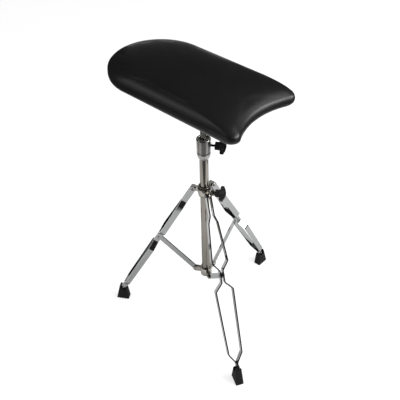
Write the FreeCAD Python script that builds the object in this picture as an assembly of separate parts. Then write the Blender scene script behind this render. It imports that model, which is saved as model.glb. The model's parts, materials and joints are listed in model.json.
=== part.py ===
import FreeCAD, Part
import math
import os

from FreeCAD import Vector

# Arm rest on a folding tripod stand.
# Millimetres, Z up, origin on the floor under the axis of the main tube.
# The pad points its hollow end along +X. The legs stand at 90, 210 and 330 degrees.

# Main tube and inner post
tube_wall = 1.2
tube_bottom_height = 150.0
tube_length = 434.0
post_diameter = 15.9
post_wall = 1.2
post_length = 430.0
post_grip = 30.8
height_setting = 63.1

# Fits and clearances
running_gap = 0.05
seat_gap = 0.1
side_gap = 0.2
stay_side_gap = 0.8
cut_overrun = 5.0
skin_gap = 0.3

# Tripod linkage, measured in the vertical plane of one leg
leg_names = ["rear", "left", "front"]
rear_leg_azimuth = 90.0
bolt_azimuth = 30.0
pivot_radius_out = 28.0
bracket_pivot_rise = 12.7
leg_pivot_spacing = 201.9
leg_tip_height = 28.15
leg_angle = 28.6

# Flat bar of the legs and stays
bar_width = 14.2
bar_thickness = 3.2
bar_bend_radius = 6.0
leg_length = 470.0
leg_tip_width = 12.5
leg_spread_start = 48.0
leg_upper_joggle = 19.0
leg_upper_half_spread = 11.6
leg_upper_full_spread = 20.0
leg_upper_joggle_end = 14.0
leg_upper_spread_end = 36.0
leg_lower_joggle_start = 18.0
leg_lower_joggle = 20.0
leg_lower_half_spread = 22.3
leg_tip_half_spread = 17.4
leg_tip_joggle_start = 59.0
leg_tip_joggle = 26.0

# Rivets
pivot_rivet_diameter = 6.0
mid_rivet_diameter = 5.0
tip_rivet_diameter = 4.0
rivet_head_height = 1.8
rivet_head_share = 1.65
rivet_crown_share = 0.7
rivet_hollow_share = 0.5

# Sleeve on the tube's top, with its bushing
sleeve_length = 56.0
sleeve_lip = 6.0
sleeve_top_wall = 5.9
sleeve_middle_wall = 5.35
sleeve_bottom_wall = 0.85
sleeve_taper_height = 21.0
sleeve_taper_bulge = 1.8
sleeve_rim_radius = 2.4
sleeve_bolt_drop = 18.0
sleeve_boss_radius = 7.5
sleeve_boss_reach = 17.3
bushing_wall = 1.85
bushing_length = 46.0
bushing_flange = 2.4
bushing_slot_width = 2.0
grub_screw_diameter = 5.0
grub_screw_rise = 21.0
grub_socket_share = 0.34

# Tripod collar
collar_below_pivot = 14.0
collar_above_pivot = 11.5
collar_wall = 4.05
collar_foot_wall = 2.75
collar_mouth_width = 1.75
collar_chamfer = 4.0
collar_rim_width = 1.0
collar_mouth_depth = 2.0
collar_lug_thickness = 6.5
collar_boss_radius = 7.5
collar_boss_reach = 25.0
collar_bolt_drop = 8.5
collar_liner_wall = 1.3
collar_liner_flange = 2.0

# Lower bracket and the plug under it
bracket_below_pivot = 15.7
bracket_above_pivot = 12.0
bracket_wall = 3.85
bracket_lip = 8.0
bracket_chamfer = 2.0
bracket_rim_chamfer = 1.0
bracket_ear_thickness = 3.0
bracket_slot_radius = 20.0
bracket_pin_diameter = 4.0
bracket_pin_rise = 6.0
plug_flange_radius = 10.5
plug_flange_height = 1.8
plug_depth = 9.0

# Wing bolts
bolt_diameter = 6.0
bolt_tip_gap = 0.2
bolt_tip_chamfer = 1.0
shoe_radius = 4.0
shoe_thickness = 2.6
knob_boss_gap = 2.0
knob_hub_length = 12.5
knob_hub_radius = 9.6
knob_core_share = 0.8
knob_flute_count = 12
knob_flute_radius = 1.3
knob_wing_span = 38.0
knob_wing_length = 10.0
knob_wing_crown = 15.0
knob_wing_thickness = 8.5
knob_wing_end_radius = 3.5
height_knob_turn = -5.0
collar_knob_turn = -60.0

# Rubber foot
foot_inner_overhang = 21.5
foot_outer_overhang = 14.5
foot_width = 21.5
foot_top_width = 16.0
foot_top_depth = 24.0
foot_grip = 17.0
foot_notch_depth = 7.0
foot_corner_radius = 3.0
foot_groove_width = 2.2
foot_groove_depth = 1.6
foot_groove_count = 4

# Pad, its board, cover and fixings
pad_tilt = 2.7
pad_turn = 1.7
pad_tip_reach = 244.5
pad_corner_reach = 186.0
pad_width = 222.0
pad_round_flattening = 1.0
pad_round_offset = 10.5
pad_hollow_depth = 38.0
pad_corner_radius = 15.0
pad_corner_growth_share = 1.8
pad_corner_limit_share = 0.75
pad_thickness = 49.0
pad_cover_thickness = 1.2
pad_wrap_width = 24.0
pad_board_thickness = 12.0
pad_board_inset = 4.6
# Each level of the pad: its height as a share of the thickness, its inset at the sides as a
# share of the half width, and its insets at the tip and the hollow end as shares of half the length
pad_level_shares = [
    (0.0, 0.030, 0.017, 0.017),
    (0.12, 0.010, 0.006, 0.006),
    (0.30, 0.003, 0.002, 0.003),
    (0.46, 0.005, 0.012, 0.026),
    (0.60, 0.022, 0.042, 0.075),
    (0.71, 0.050, 0.110, 0.185),
    (0.78, 0.072, 0.180, 0.280),
    (0.825, 0.110, 0.240, 0.350),
    (0.865, 0.190, 0.320, 0.430),
    (0.915, 0.330, 0.450, 0.550),
    (0.96, 0.510, 0.610, 0.690),
    (0.99, 0.680, 0.740, 0.810),
    (1.0, 0.790, 0.810, 0.870),
]
cloth_thickness = 0.8
cloth_inset = 12.0
cloth_hole_margin = 3.0
staple_length = 9.0
staple_width = 0.9
staple_height = 0.5
staple_edge = 4.0
staples_per_side = 7
staples_on_round = 5

# Mounting plate and swivel hub under the pad
plate_size = 110.0
plate_thickness = 3.0
plate_corner_radius = 10.0
plate_screw_inset = 13.0
hub_radius = 12.5
hub_length = 42.0
hub_rib_height = 18.0
hub_rib_reach = 34.0
hub_rib_thickness = 3.0
hub_rib_count = 4
hub_screw_rise = 14.0
hub_screw_azimuth = -90.0
hub_screw_diameter = 6.0
hub_screw_stand_out = 2.0
groove_depth = 1.5
groove_height = 7.0
stop_ring_radius = 12.0
stop_ring_height = 6.0
screw_head_radius = 4.6
screw_crown_share = 0.75
screw_cross_share = 0.5
screw_cross_width_share = 0.12
screw_head_height = 2.6
screw_shank_radius = 2.4
screw_length = 9.0
post_glide_length = 22.0
post_glide_flange = 2.5

# Places that follow from the sizes above
post_radius = post_diameter / 2
tube_bore = post_radius + running_gap + bushing_wall + seat_gap / 2
tube_radius = tube_bore + tube_wall
tube_diameter = 2 * tube_radius
tube_top_height = tube_bottom_height + tube_length
sleeve_bore = tube_radius + seat_gap / 2
sleeve_top_radius = sleeve_bore + sleeve_top_wall
sleeve_middle_radius = sleeve_bore + sleeve_middle_wall
sleeve_bottom_radius = sleeve_bore + sleeve_bottom_wall
sleeve_top_height = tube_top_height + sleeve_lip
sleeve_bottom_height = sleeve_top_height - sleeve_length
sleeve_bolt_height = sleeve_top_height - sleeve_bolt_drop
sleeve_screw_height = sleeve_bottom_height + grub_screw_rise
leg_sin = math.sin(math.radians(leg_angle))
leg_cos = math.cos(math.radians(leg_angle))
leg_tip_reach = pivot_radius_out + leg_length * leg_sin
collar_pivot_height = leg_tip_height + leg_length * leg_cos
bracket_pivot_height = tube_bottom_height + bracket_pivot_rise
leg_azimuths = {name: rear_leg_azimuth + 360 * index / len(leg_names)
                for index, name in enumerate(leg_names)}
foot_inner_reach = leg_tip_reach - foot_inner_overhang
foot_outer_reach = leg_tip_reach + foot_outer_overhang
foot_top_station = leg_length - foot_grip
collar_bottom_height = collar_pivot_height - collar_below_pivot
collar_top_height = collar_pivot_height + collar_above_pivot
collar_bolt_height = collar_pivot_height - collar_bolt_drop
collar_bore = tube_radius + running_gap + collar_liner_wall
collar_radius = collar_bore + collar_wall
collar_foot_radius = collar_bore + collar_foot_wall
collar_mouth_radius = collar_bore + collar_mouth_width
knob_hub_start = collar_boss_reach + knob_boss_gap
bracket_bottom_height = bracket_pivot_height - bracket_below_pivot
bracket_top_height = bracket_pivot_height + bracket_above_pivot
bracket_bore = tube_radius + seat_gap / 2
bracket_radius = bracket_bore + bracket_wall
bar_end_radius = bar_width / 2
lug_half = collar_lug_thickness / 2
leg_top_spread = lug_half + side_gap + bar_thickness / 2
leg_mid_spread = bar_thickness + stay_side_gap
leg_tip_spread = bar_thickness / 2
tip_rivet_station = leg_length - leg_tip_width
mid_pivot_radius_out = pivot_radius_out + leg_pivot_spacing * leg_sin
mid_pivot_height = collar_pivot_height - leg_pivot_spacing * leg_cos
stop_ring_top_height = sleeve_top_height + height_setting + stop_ring_height
hub_bottom_height = stop_ring_top_height + seat_gap
post_top_height = hub_bottom_height + post_grip
post_bottom_height = post_top_height - post_length
plate_bottom_height = hub_bottom_height + hub_length
board_bottom_height = plate_bottom_height + plate_thickness
pad_bottom_height = board_bottom_height - pad_cover_thickness
pad_half_length = (pad_tip_reach + pad_corner_reach - pad_hollow_depth) / 2
pad_round_depth = pad_width / 2 - pad_round_flattening
pad_round_side_radius = pad_width / 2 - pad_round_offset

UP = Vector(0, 0, 1)
OUT = Vector(1, 0, 0)
SIDE = Vector(0, 1, 0)
ORIGIN = Vector(0, 0, 0)
HALF_TURN = 180
HEXAGON = 6


def rod(radius, start, end):
    """Solid cylinder between two points."""
    axis = end - start
    return Part.makeCylinder(radius, axis.Length, start, axis)


def pillar(radius, bottom, top):
    """Solid cylinder about the tube axis."""
    return rod(radius, Vector(0, 0, bottom), Vector(0, 0, top))


def ring(outer_radius, inner_radius, bottom, top):
    """Tube about the main axis."""
    bore = pillar(inner_radius, bottom - cut_overrun, top + cut_overrun)
    return pillar(outer_radius, bottom, top).cut(bore)


def block(low, high):
    """Box between two corners."""
    size = high - low
    return Part.makeBox(size.x, size.y, size.z, low)


def turned(shape, degrees):
    """Copy of a shape, turned about the main axis."""
    copy = shape.copy()
    copy.rotate(ORIGIN, UP, degrees)
    return copy


def spun(edges):
    """Solid of revolution about the main axis from a closed chain of edges."""
    return Part.Face(Part.Wire(edges)).revolve(ORIGIN, UP, 360)


def line(start, end):
    return Part.LineSegment(start, end).toShape()


def arc(start, middle, end):
    return Part.Arc(start, middle, end).toShape()


def profile_point(radius, height):
    return Vector(radius, 0, height)


def polygon_edges(points):
    return [line(a, b) for a, b in zip(points, points[1:] + points[:1])]


def prism(points, push):
    """Polygon pushed along a vector."""
    return Part.Face(Part.Wire(polygon_edges(points))).extrude(push)


def rounded_rectangle(low_x, high_x, low_y, high_y, height, radius):
    """Closed wire of a rectangle with round corners, at one height."""
    corners = [(high_x, high_y, 0), (low_x, high_y, 90), (low_x, low_y, 180), (high_x, low_y, 270)]
    edges = []
    ends = []
    for x, y, start in corners:
        centre_x = x - radius if start in (0, 270) else x + radius
        centre_y = y - radius if start in (0, 90) else y + radius
        points = []
        for angle in (start, start + 45, start + 90):
            turn = math.radians(angle)
            points.append(Vector(centre_x + radius * math.cos(turn),
                                 centre_y + radius * math.sin(turn), height))
        ends.append(points)
    for index, points in enumerate(ends):
        following = ends[(index + 1) % len(ends)]
        edges.append(arc(*points))
        edges.append(line(points[2], following[0]))
    return Part.Wire(edges)


def save(name, *shapes):
    """Writes one node as a STEP file of one or more solids."""
    solids = [solid for shape in shapes for solid in shape.Solids]
    for solid in solids:
        if not solid.isValid():
            print("invalid solid in", name)
    result = solids[0] if len(solids) == 1 else Part.makeCompound(solids)
    result.exportStep(os.path.join("parts", name + ".step"))
    volume = sum(solid.Volume for solid in solids)
    print(name, len(solids), "solid(s)", round(volume), "mm3")


def build_tube():
    """Main tube, with the hole for the height bolt's shoe and the bracket pin."""
    tube = ring(tube_radius, tube_bore, tube_bottom_height, tube_top_height)
    shoe_hole = rod(shoe_radius + skin_gap, Vector(0, 0, sleeve_bolt_height),
                    Vector(tube_diameter, 0, sleeve_bolt_height))
    pin_height = bracket_pivot_height + bracket_pin_rise
    pin_hole = rod(bracket_pin_diameter / 2, Vector(-tube_diameter, 0, pin_height),
                   Vector(tube_diameter, 0, pin_height))
    tube = tube.cut(turned(shoe_hole, bolt_azimuth))
    return tube.cut(turned(pin_hole, bolt_azimuth))


def build_sleeve():
    """Barrel-shaped sleeve round the tube's top, with a boss for the height bolt."""
    bore = sleeve_bore
    bottom = sleeve_bottom_height
    top = sleeve_top_height
    taper_top = bottom + sleeve_taper_height
    taper_middle = bottom + sleeve_taper_height / 2
    rim_start = top - sleeve_rim_radius
    rim_inner = sleeve_top_radius - 2 * sleeve_rim_radius
    bulge_radius = (sleeve_bottom_radius + sleeve_middle_radius) / 2 + sleeve_taper_bulge
    rim_middle_radius = sleeve_top_radius - sleeve_rim_radius
    edges = [
        line(profile_point(bore, bottom), profile_point(sleeve_bottom_radius, bottom)),
        arc(profile_point(sleeve_bottom_radius, bottom), profile_point(bulge_radius, taper_middle),
            profile_point(sleeve_middle_radius, taper_top)),
        line(profile_point(sleeve_middle_radius, taper_top),
             profile_point(sleeve_top_radius, rim_start)),
        arc(profile_point(sleeve_top_radius, rim_start), profile_point(rim_middle_radius, top),
            profile_point(rim_inner, rim_start)),
        line(profile_point(rim_inner, rim_start), profile_point(rim_inner, tube_top_height)),
        line(profile_point(rim_inner, tube_top_height), profile_point(bore, tube_top_height)),
        line(profile_point(bore, tube_top_height), profile_point(bore, bottom)),
    ]
    sleeve = spun(edges)
    centre = Vector(0, 0, sleeve_bolt_height)
    boss = rod(sleeve_boss_radius, Vector(bore, 0, sleeve_bolt_height),
               Vector(sleeve_boss_reach, 0, sleeve_bolt_height))
    boss = boss.cut(pillar(sleeve_middle_radius, bottom, top))
    thread_end = centre + OUT * (sleeve_boss_reach + cut_overrun)
    thread = rod(bolt_diameter / 2 + running_gap, centre, thread_end)
    shoe_room = rod(shoe_radius + skin_gap, centre, centre + OUT * (tube_radius + shoe_thickness / 2))
    sleeve = sleeve.fuse(boss).removeSplitter()
    sleeve = sleeve.cut(thread.fuse(shoe_room))
    screw_hole = rod(grub_screw_diameter / 2 + running_gap, Vector(0, 0, sleeve_screw_height),
                     Vector(-sleeve_boss_reach, 0, sleeve_screw_height))
    return turned(sleeve.cut(screw_hole), bolt_azimuth)


def build_sleeve_screw():
    """Grub screw that holds the sleeve on the tube, opposite the height bolt."""
    outer = sleeve_middle_radius - seat_gap
    screw = grub_screw(grub_screw_diameter, sleeve_screw_height, tube_radius, outer)
    return turned(screw, bolt_azimuth + HALF_TURN)


def grub_screw(diameter, height, inner, outer):
    """Headless screw along X with a hexagon socket in its outer end."""
    body = rod(diameter / 2, Vector(inner, 0, height), Vector(outer, 0, height))
    socket_radius = diameter * grub_socket_share
    points = []
    for corner in range(HEXAGON):
        turn = 2 * math.pi * corner / HEXAGON
        points.append(Vector(outer, socket_radius * math.cos(turn),
                             height + socket_radius * math.sin(turn)))
    socket = prism(points, OUT * -socket_radius)
    return body.cut(socket)


def build_sleeve_bushing():
    """Split guide bushing that the post slides in, with its flange on the tube's end."""
    outer = tube_bore - seat_gap / 2
    inner = post_radius + running_gap
    top = tube_top_height + bushing_flange
    body = ring(outer, inner, top - bushing_length, top)
    flange_radius = sleeve_top_radius - 2 * sleeve_rim_radius - seat_gap
    flange = ring(flange_radius, inner, tube_top_height, top)
    bushing = body.fuse(flange).removeSplitter()
    centre = Vector(0, 0, sleeve_bolt_height)
    window = rod(shoe_radius + skin_gap, centre, centre + OUT * tube_diameter)
    half_slot = bushing_slot_width / 2
    slot = block(Vector(-tube_diameter, -half_slot, top - bushing_length - cut_overrun),
                 Vector(0, half_slot, tube_top_height - bushing_flange))
    return turned(bushing.cut(window).cut(slot), bolt_azimuth)


def build_shoe(height, inner_radius):
    """Pressure shoe between a wing bolt and the tube or post that it grips."""
    start = inner_radius + bolt_tip_gap
    shoe = rod(shoe_radius, Vector(0, 0, height), Vector(start + shoe_thickness, 0, height))
    hollow = pillar(start, height - shoe_radius - cut_overrun, height + shoe_radius + cut_overrun)
    return turned(shoe.cut(hollow), bolt_azimuth)


def build_bolt_screw(height, inner_radius):
    """Threaded stem of a wing bolt, from its shoe into the knob."""
    start = inner_radius + 2 * bolt_tip_gap + shoe_thickness
    end = knob_hub_start + knob_hub_length + knob_wing_length / 2
    tip = bolt_tip_chamfer
    stem = rod(bolt_diameter / 2, Vector(start + tip, 0, height), Vector(end, 0, height))
    cone = Part.makeCone(bolt_diameter / 2 - tip, bolt_diameter / 2, tip, Vector(start, 0, height), OUT)
    return turned(stem.fuse(cone).removeSplitter(), bolt_azimuth)


def build_knob(height, turn):
    """Moulded wing knob: a fluted hub and two thick wings under one round crown."""
    hub_end = knob_hub_start + knob_hub_length
    hub = rod(knob_hub_radius, Vector(knob_hub_start, 0, height), Vector(hub_end, 0, height))
    for index in range(knob_flute_count):
        angle = 2 * math.pi * (index + 0.5) / knob_flute_count
        centre = Vector(knob_hub_start - cut_overrun, knob_hub_radius * math.cos(angle),
                        height + knob_hub_radius * math.sin(angle))
        flute_end = centre + OUT * (knob_hub_length + cut_overrun - knob_flute_radius)
        hub = hub.cut(rod(knob_flute_radius, centre, flute_end))
    half_span = knob_wing_span / 2
    half_thickness = knob_wing_thickness / 2
    start = hub_end - knob_wing_end_radius / 2
    end = start + knob_wing_length
    radius = knob_wing_end_radius
    slope = radius * math.sqrt(0.5)
    outline = []
    for sign in (1, -1):
        tip = height + sign * half_span
        shoulder = height + sign * knob_hub_radius
        root = Vector(start, -half_thickness, shoulder)
        low = Vector(start + radius, -half_thickness, tip)
        low_corner = Vector(start, -half_thickness, tip - sign * radius)
        low_middle = Vector(start + radius - slope, -half_thickness, tip - sign * (radius - slope))
        high = Vector(end - radius, -half_thickness, tip)
        high_corner = Vector(end, -half_thickness, tip - sign * radius)
        high_middle = Vector(end - radius + slope, -half_thickness, tip - sign * (radius - slope))
        chain = [line(root, low_corner), arc(low_corner, low_middle, low), line(low, high),
                 arc(high, high_middle, high_corner)]
        outline.append((chain, root, high_corner))
    upper, upper_root, upper_corner = outline[0]
    lower, lower_root, lower_corner = outline[1]
    crown = arc(upper_corner, Vector(start + knob_wing_crown, -half_thickness, height), lower_corner)
    edges = upper + [crown] + lower + [line(lower_root, upper_root)]
    ordered = Part.Wire(Part.__sortEdges__(edges))
    wings = Part.Face(ordered).extrude(Vector(0, knob_wing_thickness, 0))
    core = rod(knob_hub_radius * knob_core_share, Vector(start, 0, height), Vector(end, 0, height))
    stem_hole = rod(bolt_diameter / 2, Vector(0, 0, height),
                    Vector(hub_end + knob_wing_length / 2, 0, height))
    knob = hub.fuse(wings).fuse(core).removeSplitter().cut(stem_hole)
    knob.rotate(Vector(0, 0, height), OUT, turn)
    return turned(knob, bolt_azimuth)


def build_collar():
    """Cast sliding collar: three lugs for the legs and a boss for its wing bolt."""
    bottom = collar_bottom_height
    top = collar_top_height
    points = [
        profile_point(collar_bore, bottom),
        profile_point(collar_foot_radius, bottom),
        profile_point(collar_radius, bottom + collar_chamfer),
        profile_point(collar_radius, top - collar_chamfer),
        profile_point(collar_mouth_radius + collar_rim_width, top),
        profile_point(collar_mouth_radius, top),
        profile_point(collar_bore, top - collar_mouth_depth),
    ]
    collar = spun(polygon_edges(points))
    lug = lug_solid(collar_pivot_height, collar_lug_thickness, collar_bore)
    for azimuth in leg_azimuths.values():
        collar = collar.fuse(turned(lug, azimuth))
    centre = Vector(0, 0, collar_bolt_height)
    boss = rod(collar_boss_radius, centre, centre + OUT * collar_boss_reach)
    boss = boss.cut(pillar(collar_bore, bottom, top))
    boss = boss.cut(pillar(collar_foot_radius + skin_gap, bottom - collar_boss_radius, bottom))
    collar = collar.fuse(turned(boss, bolt_azimuth)).removeSplitter()
    thread_end = centre + OUT * (collar_boss_reach + cut_overrun)
    thread = rod(bolt_diameter / 2 + running_gap, centre, thread_end)
    shoe_room = rod(shoe_radius + skin_gap, centre, centre + OUT * (collar_bore + shoe_thickness))
    collar = collar.cut(turned(thread.fuse(shoe_room), bolt_azimuth))
    pin_hole = lug_pin(collar_pivot_height, pivot_rivet_diameter / 2, collar_lug_thickness + cut_overrun)
    for azimuth in leg_azimuths.values():
        collar = collar.cut(turned(pin_hole, azimuth))
    return collar


def lug_pin(height, radius, length):
    """Short rod across a leg's plane at a pivot height."""
    start = Vector(pivot_radius_out, -length / 2, height)
    return rod(radius, start, start + SIDE * length)


def lug_solid(height, thickness, root_radius):
    """Plate in a leg's plane: round about the pivot, square at the body."""
    half = thickness / 2
    disc = lug_pin(height, bar_end_radius, thickness)
    arm = block(Vector(root_radius, -half, height - bar_end_radius),
                Vector(pivot_radius_out, half, height + bar_end_radius))
    return arm.fuse(disc).removeSplitter()


def build_collar_liner():
    """Nylon liner between the collar and the tube, with a flange below the collar."""
    inner = tube_radius + running_gap
    outer = collar_bore - seat_gap / 2
    bottom = collar_bottom_height - collar_liner_flange
    top = collar_top_height - collar_mouth_depth
    body = ring(outer, inner, bottom, top)
    flange = ring(collar_foot_radius, inner, bottom, collar_bottom_height)
    liner = body.fuse(flange).removeSplitter()
    centre = Vector(0, 0, collar_bolt_height)
    window = rod(shoe_radius + skin_gap, centre, centre + OUT * (collar_bore + cut_overrun))
    return liner.cut(turned(window, bolt_azimuth))


def build_bracket():
    """Fixed lower bracket: a cup on the tube's end with three forked lugs."""
    bore = bracket_bore
    bottom = bracket_bottom_height
    top = bracket_top_height
    points = [
        profile_point(bracket_lip, bottom),
        profile_point(bracket_radius - bracket_chamfer, bottom),
        profile_point(bracket_radius, bottom + bracket_chamfer),
        profile_point(bracket_radius, top - bracket_chamfer),
        profile_point(bracket_radius - bracket_rim_chamfer, top),
        profile_point(bore, top),
        profile_point(bore, tube_bottom_height),
        profile_point(bracket_lip, tube_bottom_height),
    ]
    bracket = spun(polygon_edges(points))
    slot_half = bar_thickness / 2 + side_gap
    ears = lug_solid(bracket_pivot_height, 2 * (slot_half + bracket_ear_thickness), bore)
    slot = block(Vector(bracket_slot_radius, -slot_half, bracket_pivot_height - bar_width),
                 Vector(pivot_radius_out + bar_width, slot_half, bracket_pivot_height + bar_width))
    hole = lug_pin(bracket_pivot_height, mid_rivet_diameter / 2, bar_width + cut_overrun)
    fork = ears.cut(slot).cut(hole)
    for azimuth in leg_azimuths.values():
        bracket = bracket.fuse(turned(fork, azimuth))
    pin_height = bracket_pivot_height + bracket_pin_rise
    pin_hole = rod(bracket_pin_diameter / 2, Vector(-2 * bracket_radius, 0, pin_height),
                   Vector(2 * bracket_radius, 0, pin_height))
    return bracket.removeSplitter().cut(turned(pin_hole, bolt_azimuth))


def build_bracket_pin():
    """Roll pin that holds the bracket on the tube."""
    height = bracket_pivot_height + bracket_pin_rise
    reach = bracket_radius + seat_gap
    pin = rod(bracket_pin_diameter / 2, Vector(-reach, 0, height), Vector(reach, 0, height))
    bore = rod(bracket_pin_diameter / 4, Vector(-2 * reach, 0, height), Vector(2 * reach, 0, height))
    return turned(pin.cut(bore), bolt_azimuth)


def build_plug():
    """Plastic plug in the open bottom of the bracket."""
    bottom = bracket_bottom_height - plug_flange_height
    flange = pillar(plug_flange_radius, bottom, bracket_bottom_height)
    stem = pillar(bracket_lip - seat_gap / 2, bracket_bottom_height, bracket_bottom_height + plug_depth)
    wall = pillar(bracket_lip - tube_wall, bracket_bottom_height, bracket_bottom_height + 2 * plug_depth)
    return flange.fuse(stem).removeSplitter().cut(wall)


def leg_path():
    """Distance down the leg and distance off its middle plane, along one bar."""
    mid = leg_pivot_spacing
    upper_start = leg_spread_start
    upper_end = mid - leg_upper_spread_end
    lower_start = mid + leg_lower_joggle_start
    tip_start = leg_length - leg_tip_joggle_start
    return [
        (-bar_end_radius, leg_top_spread),
        (upper_start, leg_top_spread),
        (upper_start + leg_upper_joggle, leg_upper_half_spread),
        (upper_end, leg_upper_full_spread),
        (mid - leg_upper_joggle_end, leg_mid_spread),
        (lower_start, leg_mid_spread),
        (lower_start + leg_lower_joggle, leg_lower_half_spread),
        (tip_start, leg_tip_half_spread),
        (tip_start + leg_tip_joggle, leg_tip_spread),
        (leg_length, leg_tip_spread),
    ]


def bent_bar_face(path, thickness, bend_radius):
    """Flat face of a bent bar seen on edge: straight runs joined by round bends."""
    points = [Vector(station, offset, 0) for station, offset in path]
    sides = {1: [], -1: []}
    half = thickness / 2
    directions = [(b - a).normalize() for a, b in zip(points, points[1:])]
    normals = [Vector(-d.y, d.x, 0) for d in directions]
    last = {side: points[0] + normals[0] * (side * half) for side in sides}
    for index in range(1, len(points) - 1):
        before, after = directions[index - 1], directions[index]
        turn = math.atan2(before.x * after.y - before.y * after.x, before.dot(after))
        setback = bend_radius * abs(math.tan(turn / 2))
        bend_side = 1 if turn > 0 else -1
        entry = points[index] - before * setback
        leave = points[index] + after * setback
        centre = entry + normals[index - 1] * (bend_side * bend_radius)
        middle_normal = (normals[index - 1] + normals[index]).normalize()
        for side in sides:
            radius = bend_radius - side * bend_side * half
            start = entry + normals[index - 1] * (side * half)
            end = leave + normals[index] * (side * half)
            middle = centre - middle_normal * (bend_side * radius)
            sides[side].append(line(last[side], start))
            sides[side].append(arc(start, middle, end))
            last[side] = end
    finish = {side: points[-1] + normals[-1] * (side * half) for side in sides}
    for side in sides:
        sides[side].append(line(last[side], finish[side]))
    first = {side: points[0] + normals[0] * (side * half) for side in sides}
    edges = sides[1] + [line(finish[1], finish[-1])] + sides[-1] + [line(first[-1], first[1])]
    return Part.Face(Part.Wire(Part.__sortEdges__(edges)))


def bar_outline(length, tip_width, taper_start):
    """Bar seen on its flat: round at the top pivot, tapered to its tip."""
    half = bar_width / 2
    tip = tip_width / 2
    edges = [
        arc(Vector(0, 0, half), Vector(-half, 0, 0), Vector(0, 0, -half)),
        line(Vector(0, 0, -half), Vector(taper_start, 0, -half)),
        line(Vector(taper_start, 0, -half), Vector(length, 0, -tip)),
        line(Vector(length, 0, -tip), Vector(length, 0, tip)),
        line(Vector(length, 0, tip), Vector(taper_start, 0, half)),
        line(Vector(taper_start, 0, half), Vector(0, 0, half)),
    ]
    return Part.Face(Part.Wire(edges))


def on_leg(shape, azimuth):
    """Moves a shape from leg axes (X down the leg, Z outward) to its place on the stand."""
    copy = shape.copy()
    copy.rotate(ORIGIN, SIDE, 90 - leg_angle)
    copy.translate(Vector(pivot_radius_out, 0, collar_pivot_height))
    return turned(copy, azimuth)


def cross_rod(station, radius, reach):
    """Rod across the leg at a station down its length."""
    return rod(radius, Vector(station, -reach, 0), Vector(station, reach, 0))


def build_leg_bar(side, azimuth):
    """One bowed bar of a leg, with its three rivet holes."""
    path = [(station, side * offset) for station, offset in leg_path()]
    band = bent_bar_face(path, bar_thickness, bar_bend_radius)
    band.translate(Vector(0, 0, -bar_width))
    body = band.extrude(UP * (2 * bar_width))
    reach = 2 * leg_lower_half_spread
    flat = bar_outline(leg_length, leg_tip_width, leg_length - leg_tip_joggle_start)
    flat.translate(Vector(0, -reach, 0))
    bar = body.common(flat.extrude(SIDE * (2 * reach)))
    bar = bar.cut(cross_rod(0, pivot_rivet_diameter / 2 + running_gap, reach))
    bar = bar.cut(cross_rod(leg_pivot_spacing, mid_rivet_diameter / 2, reach))
    bar = bar.cut(cross_rod(tip_rivet_station, tip_rivet_diameter / 2, reach))
    return on_leg(bar, azimuth)


def rivet(station, shank_radius, grip, gap, base):
    """Tubular rivet across the leg: two domed heads, and a hollow in each end."""
    head_radius = shank_radius * rivet_head_share
    hollow_radius = shank_radius * rivet_hollow_share
    reach = grip / 2 + gap
    shape = rod(shank_radius, base + Vector(station, -reach, 0), base + Vector(station, reach, 0))
    for side in (1, -1):
        seat = base + Vector(station, side * reach, 0)
        crown = head_radius * rivet_crown_share
        head = Part.makeCone(head_radius, crown, rivet_head_height, seat, SIDE * side)
        shape = shape.fuse(head)
    for side in (1, -1):
        end = base + Vector(station, side * (reach + rivet_head_height + cut_overrun), 0)
        hollow_floor = base + Vector(station, side * (reach - rivet_head_height), 0)
        shape = shape.cut(rod(hollow_radius, hollow_floor, end))
    return shape.removeSplitter()


def build_collar_rivets():
    """The three hinge rivets of the legs, fixed in the collar's lugs."""
    grip = 2 * (leg_top_spread + bar_thickness / 2)
    base = Vector(pivot_radius_out, 0, collar_pivot_height)
    one = rivet(0, pivot_rivet_diameter / 2, grip, seat_gap, base)
    return [turned(one, azimuth) for azimuth in leg_azimuths.values()]


def build_bracket_rivets():
    """The three hinge rivets of the stays, fixed in the bracket's forks."""
    grip = 2 * (bar_thickness / 2 + side_gap + bracket_ear_thickness)
    base = Vector(pivot_radius_out, 0, bracket_pivot_height)
    one = rivet(0, mid_rivet_diameter / 2, grip, 0, base)
    return [turned(one, azimuth) for azimuth in leg_azimuths.values()]


def build_mid_rivet(azimuth):
    """The two headed halves of the middle rivet, one in each bar of the leg."""
    inner = leg_mid_spread - bar_thickness / 2
    outer = leg_mid_spread + bar_thickness / 2
    whole = rivet(leg_pivot_spacing, mid_rivet_diameter / 2, 2 * outer, 0, ORIGIN)
    middle = block(Vector(0, -inner, -bar_width), Vector(2 * leg_pivot_spacing, inner, bar_width))
    return on_leg(whole.cut(middle), azimuth)


def build_tip_rivet(azimuth):
    """Rivet that closes the two bars together inside the foot."""
    whole = rivet(tip_rivet_station, tip_rivet_diameter / 2, 2 * bar_thickness, 0, ORIGIN)
    return on_leg(whole, azimuth)


def stay_angle():
    """Lean of a stay from the vertical, from its bracket pivot to the leg's middle rivet."""
    across = mid_pivot_radius_out - pivot_radius_out
    return math.degrees(math.atan2(across, mid_pivot_height - bracket_pivot_height))


def stay_length():
    across = mid_pivot_radius_out - pivot_radius_out
    return math.hypot(across, mid_pivot_height - bracket_pivot_height)


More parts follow.
